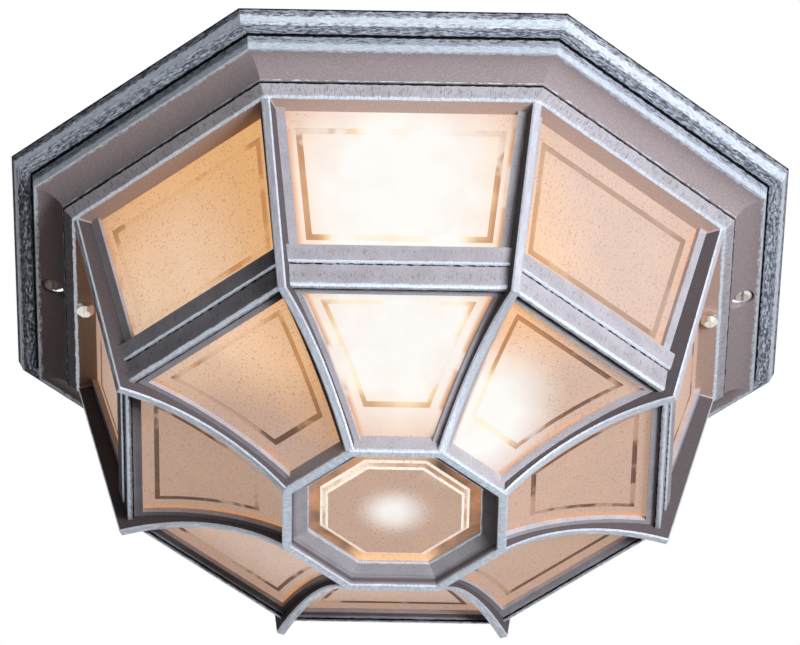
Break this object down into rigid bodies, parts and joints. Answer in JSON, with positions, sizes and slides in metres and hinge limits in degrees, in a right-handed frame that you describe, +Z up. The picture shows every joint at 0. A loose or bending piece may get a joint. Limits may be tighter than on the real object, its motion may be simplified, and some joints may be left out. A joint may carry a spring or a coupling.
{
  "type": "flush-mount ceiling light",
  "caption": "Octagonal cast flush-mount porch light: stepped canopy and a ribbed cage of frosted glass panes that drops from the ceiling to change the lamps.",
  "frame": {"origin": "centre of the ceiling face, on the axis of the wire entry", "axes": "+Z up into the ceiling, the light hangs towards -Z; flats face along X and Y, and the screws of canopy and cage are on the X axis"},
  "size_m": [0.2666, 0.2666, 0.1136],
  "materials": {
    "cast_metal": "cast, dark bronze-black paint with pale dry-brushed edges",
    "foam": "closed-cell foam strip",
    "seal_rubber": "black moulded rubber",
    "plated_steel": "zinc plated sheet",
    "screw_nickel": "bright nickel plate",
    "earth_green": "green paint",
    "spring_steel": "bare spring strip",
    "holder_ceramic": "white glazed porcelain",
    "contact_brass": "bright brass",
    "lamp_cap": "rolled screw cap",
    "lamp_glass": "thin frosted glass",
    "frosted_glass": "seeded, frosted, with clear border lines"
  },
  "bodies": {
    "base": {"canopy": "cast_metal", "ceiling_gasket": "foam", "cage_seal": "seal_rubber", "mounting_pan": "plated_steel", "weld_nuts": "plated_steel", "canopy_screws": "screw_nickel", "wire_bushing": "seal_rubber", "earth_screw": "earth_green", "bracket_1": "plated_steel", "bracket_2": "plated_steel", "bracket_screws": "screw_nickel", "lampholder_1": "holder_ceramic", "lampholder_2": "holder_ceramic", "holder_screws": "screw_nickel", "screw_shell_1": "contact_brass", "screw_shell_2": "contact_brass", "contact_1": "contact_brass", "contact_2": "contact_brass"},
    "cage": {"cage_frame": "cast_metal", "upper_pane_1": "frosted_glass", "lower_pane_1": "frosted_glass", "upper_pane_2": "frosted_glass", "lower_pane_2": "frosted_glass", "upper_pane_3": "frosted_glass", "lower_pane_3": "frosted_glass", "upper_pane_4": "frosted_glass", "lower_pane_4": "frosted_glass", "upper_pane_5": "frosted_glass", "lower_pane_5": "frosted_glass", "upper_pane_6": "frosted_glass", "lower_pane_6": "frosted_glass", "upper_pane_7": "frosted_glass", "lower_pane_7": "frosted_glass", "upper_pane_8": "frosted_glass", "lower_pane_8": "frosted_glass", "centre_glass": "frosted_glass", "glass_retainer": "plated_steel", "retainer_screws": "screw_nickel", "upper_clips": "spring_steel", "lower_clips": "spring_steel"},
    "lamp_1": {"lamp_cap_1": "lamp_cap", "lamp_bulb_1": "lamp_glass"},
    "lamp_2": {"lamp_cap_2": "lamp_cap", "lamp_bulb_2": "lamp_glass"},
    "cage_screw_1": {"cage_screw_1": "screw_nickel"},
    "cage_screw_2": {"cage_screw_2": "screw_nickel"}
  },
  "joints": [
    {"name": "cage_drop", "type": "slide", "parent": "base", "child": "cage", "axis": [0, 0, -1], "range_m": [0, 0.13]},
    {"name": "lamp_1_out", "type": "slide", "parent": "base", "child": "lamp_1", "axis": [-1, 0, 0], "range_m": [0, 0.03]},
    {"name": "lamp_2_out", "type": "slide", "parent": "base", "child": "lamp_2", "axis": [1, 0, 0], "range_m": [0, 0.03]},
    {"name": "cage_screw_1_turn", "type": "hinge", "parent": "cage", "child": "cage_screw_1", "pos_m": [0.1081, 0, -0.0204], "axis": [0, 0, 1], "continuous": true},
    {"name": "cage_screw_2_turn", "type": "hinge", "parent": "cage", "child": "cage_screw_2", "pos_m": [-0.1081, 0, -0.0204], "axis": [0, 0, 1], "continuous": true}
  ]
}
